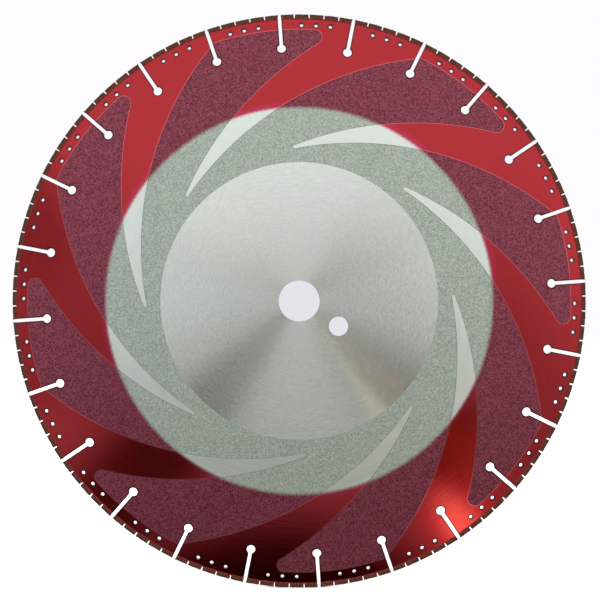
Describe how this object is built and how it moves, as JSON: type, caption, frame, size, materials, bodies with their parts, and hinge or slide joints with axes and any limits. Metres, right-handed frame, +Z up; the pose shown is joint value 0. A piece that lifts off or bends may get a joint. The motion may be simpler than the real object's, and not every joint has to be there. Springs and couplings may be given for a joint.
{
  "type": "diamond blade",
  "caption": "Round dry-cutting diamond blade with a slotted steel core, brazed grit teeth, red lacquered vanes, centre bore and drive-pin hole.",
  "frame": {"origin": "centre of the arbor bore at half the core's thickness", "axes": "+Y along the bore, from the front face to the rear face, so the front face looks along -Y; +Z up and +X to the right as the front face is seen"},
  "size_m": [0.355, 0.0034, 0.355],
  "materials": {
    "core_steel": "circular brushed and polished, blasted matt in the fields",
    "red_lacquer": "transparent red gloss lacquer over steel",
    "diamond_grit": "rough diamond grit in brown-black nickel braze"
  },
  "bodies": {
    "root": {"steel_core": "core_steel", "lacquer_film_front": "red_lacquer", "lacquer_film_rear": "red_lacquer", "diamond_coat_01": "diamond_grit", "diamond_coat_02": "diamond_grit", "diamond_coat_03": "diamond_grit", "diamond_coat_04": "diamond_grit", "diamond_coat_05": "diamond_grit", "diamond_coat_06": "diamond_grit", "diamond_coat_07": "diamond_grit", "diamond_coat_08": "diamond_grit", "diamond_coat_09": "diamond_grit", "diamond_coat_10": "diamond_grit", "diamond_coat_11": "diamond_grit", "diamond_coat_12": "diamond_grit", "diamond_coat_13": "diamond_grit", "diamond_coat_14": "diamond_grit", "diamond_coat_15": "diamond_grit", "diamond_coat_16": "diamond_grit", "diamond_coat_17": "diamond_grit", "diamond_coat_18": "diamond_grit", "diamond_coat_19": "diamond_grit", "diamond_coat_20": "diamond_grit", "diamond_coat_21": "diamond_grit", "diamond_coat_22": "diamond_grit", "diamond_coat_23": "diamond_grit", "diamond_coat_24": "diamond_grit"}
  },
  "joints": []
}
